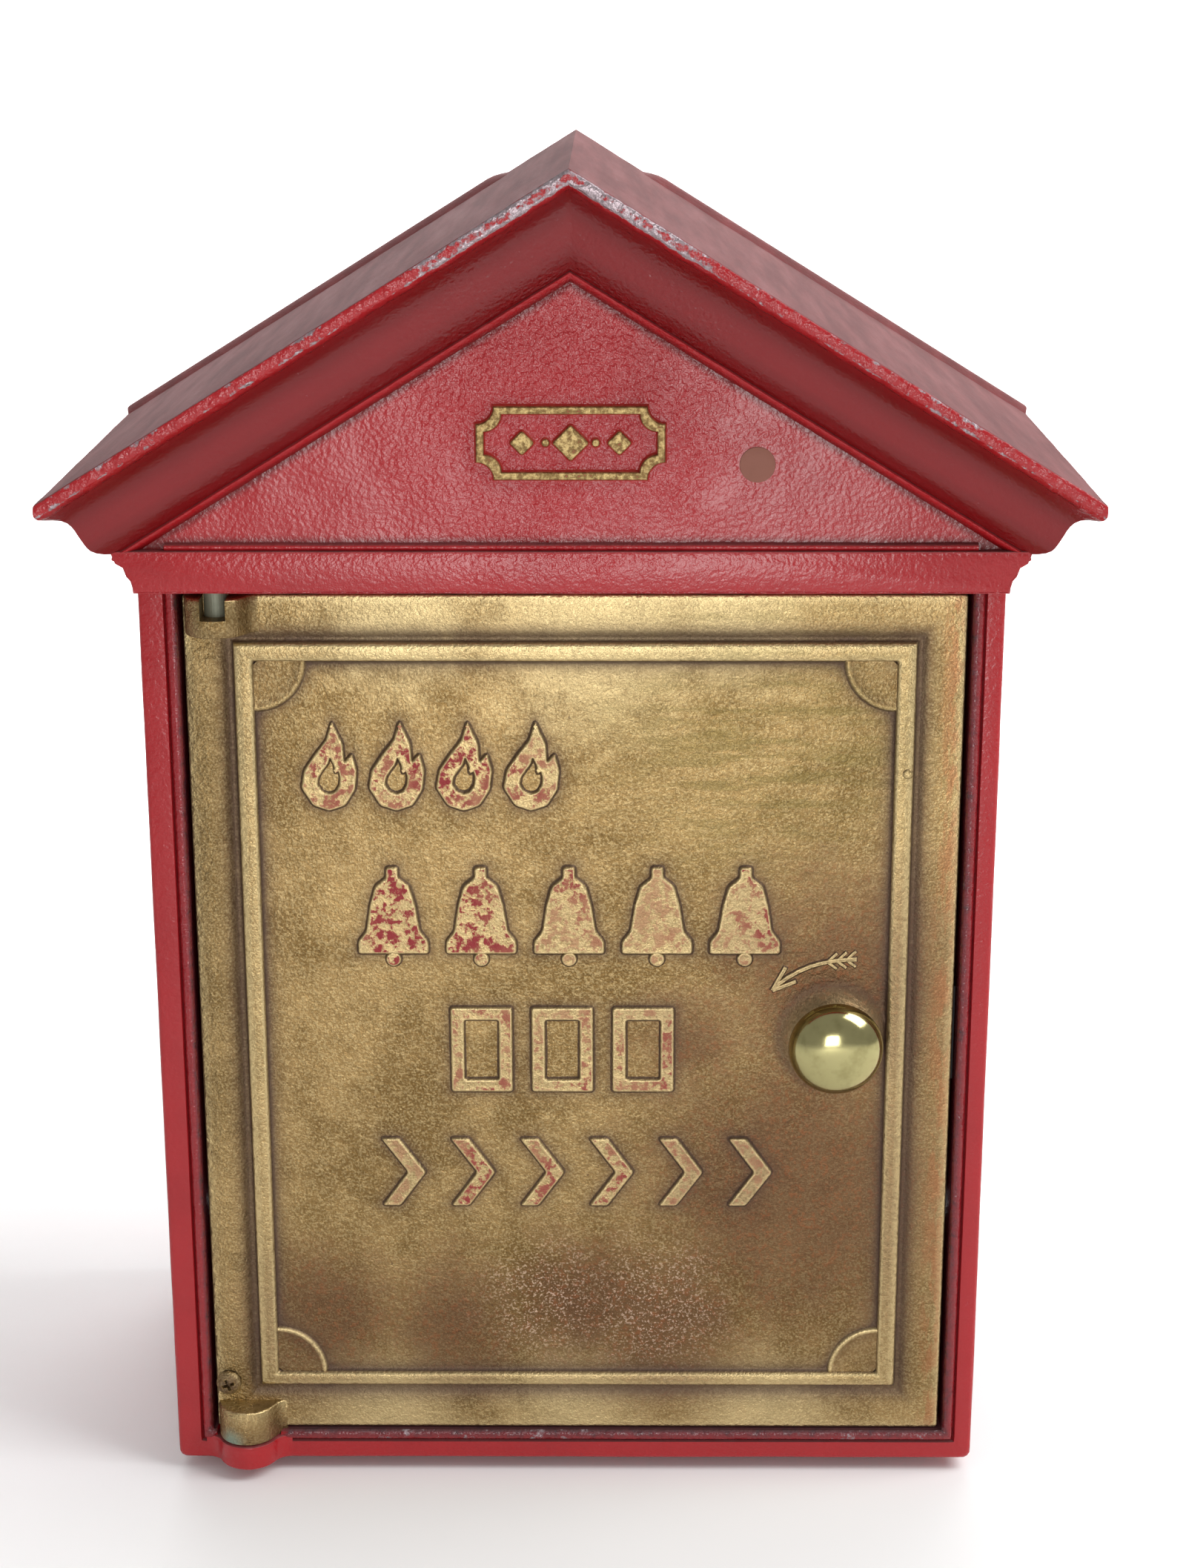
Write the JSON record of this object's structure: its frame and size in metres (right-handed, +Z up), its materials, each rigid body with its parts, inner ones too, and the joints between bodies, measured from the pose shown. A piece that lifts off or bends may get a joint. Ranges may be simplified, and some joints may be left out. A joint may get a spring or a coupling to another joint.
{
  "type": "street fire alarm box",
  "caption": "Wall-hung fire alarm box: red cast housing with a gabled roof, hinged brass door with a turn knob and latch, and inside it a pull-hook clockwork signal box.",
  "frame": {"origin": "middle of the flat back face that lies on the wall or post, 170 mm above the housing's lower edge", "axes": "+Z up, -Y out of the door, +X to the right as seen from the front"},
  "size_m": [0.3584, 0.1983, 0.4861],
  "materials": {
    "red_paint": "worn gloss paint over a rough casting",
    "cast_brass": "aged cast brass",
    "polished_brass": "polished",
    "brown_brass": "brown tarnish",
    "gilding": "worn gilding",
    "brass": "satin",
    "steel": "satin",
    "black_iron": "black japan",
    "fibre": "vulcanised fibre"
  },
  "bodies": {
    "housing": {"housing": "red_paint", "pediment_plug": "brown_brass", "emblem": "gilding", "hinge_pin_lower": "steel", "hinge_pin_upper": "steel", "latch_keeper": "steel", "keeper_screw_1": "steel", "keeper_screw_2": "steel", "conduit_bushing": "brass", "conduit_locknut": "steel", "inner_case": "black_iron", "case_screw_1": "steel", "case_screw_2": "steel", "case_screw_3": "steel", "case_screw_4": "steel", "inner_cover": "black_iron", "cover_screw_1": "steel", "cover_screw_2": "steel", "cover_screw_3": "steel", "cover_screw_4": "steel", "cover_lock": "brass", "hook_guide": "steel", "hook_spring": "steel", "sector_stud": "steel", "movement_plate_back": "brass", "movement_plate_front": "brass", "pillar_1": "steel", "pillar_2": "steel", "pillar_3": "steel", "pillar_4": "steel", "contact_stud": "steel", "contact_block": "fibre", "contact_blade": "brass", "terminal_block": "fibre", "binding_post_1": "brass", "binding_post_2": "brass", "binding_post_3": "brass", "binding_post_4": "brass"},
    "door": {"door": "cast_brass", "frame_rivet": "brass", "hinge_set_screw": "brass"},
    "knob": {"knob": "polished_brass", "knob_spindle": "steel", "spindle_collar": "brass", "latch_arm": "steel", "latch_nut": "steel"},
    "hook": {"pull_hook": "steel"},
    "sector": {"winding_sector": "brass"},
    "main_train": {"main_arbor": "steel", "spring_barrel": "brass", "great_wheel": "brass", "code_wheel": "brass"},
    "second_train": {"second_arbor": "steel", "second_wheel": "brass"},
    "fly_train": {"fly_arbor": "steel", "fly": "brass"},
    "contact_arm": {"contact_lever": "brass"}
  },
  "joints": [
    {"name": "door_hinge", "type": "hinge", "parent": "housing", "child": "door", "pos_m": [-0.123, -0.1685, 0], "axis": [0, 0, -1], "range_deg": [0, 110]},
    {"name": "knob_turn", "type": "hinge", "parent": "door", "child": "knob", "pos_m": [0.0944, -0.1685, 0.0007], "axis": [0, 1, 0], "range_deg": [0, 90]},
    {"name": "hook_pull", "type": "slide", "parent": "housing", "child": "hook", "axis": [0, 0, -1], "range_m": [0, 0.034], "stiffness_N_per_m": 120, "springref_m": -0.03, "deforming": ["hook_spring"]},
    {"name": "sector_turn", "type": "hinge", "parent": "housing", "child": "sector", "pos_m": [-0.004, -0.09, -0.02], "axis": [0, 1, 0], "range_deg": [0, 57.5]},
    {"name": "train_turn", "type": "hinge", "parent": "housing", "child": "main_train", "pos_m": [-0.018, -0.05, -0.03], "axis": [0, 1, 0], "continuous": true},
    {"name": "second_turn", "type": "hinge", "parent": "housing", "child": "second_train", "pos_m": [0.00514, -0.05, -0.00242], "axis": [0, 1, 0], "continuous": true},
    {"name": "fly_turn", "type": "hinge", "parent": "housing", "child": "fly_train", "pos_m": [-0.00007, -0.05, 0.02712], "axis": [0, 1, 0], "continuous": true},
    {"name": "contact_rock", "type": "hinge", "parent": "housing", "child": "contact_arm", "pos_m": [-0.05, -0.05, 0.018], "axis": [0, -1, 0], "range_deg": [0, 3.6]}
  ],
  "couplings": [
    {"joint": "sector_turn", "follows": "hook_pull", "rad_per_m": 29.412},
    {"joint": "second_turn", "follows": "train_turn", "ratio": -5},
    {"joint": "fly_turn", "follows": "train_turn", "ratio": 20}
  ]
}
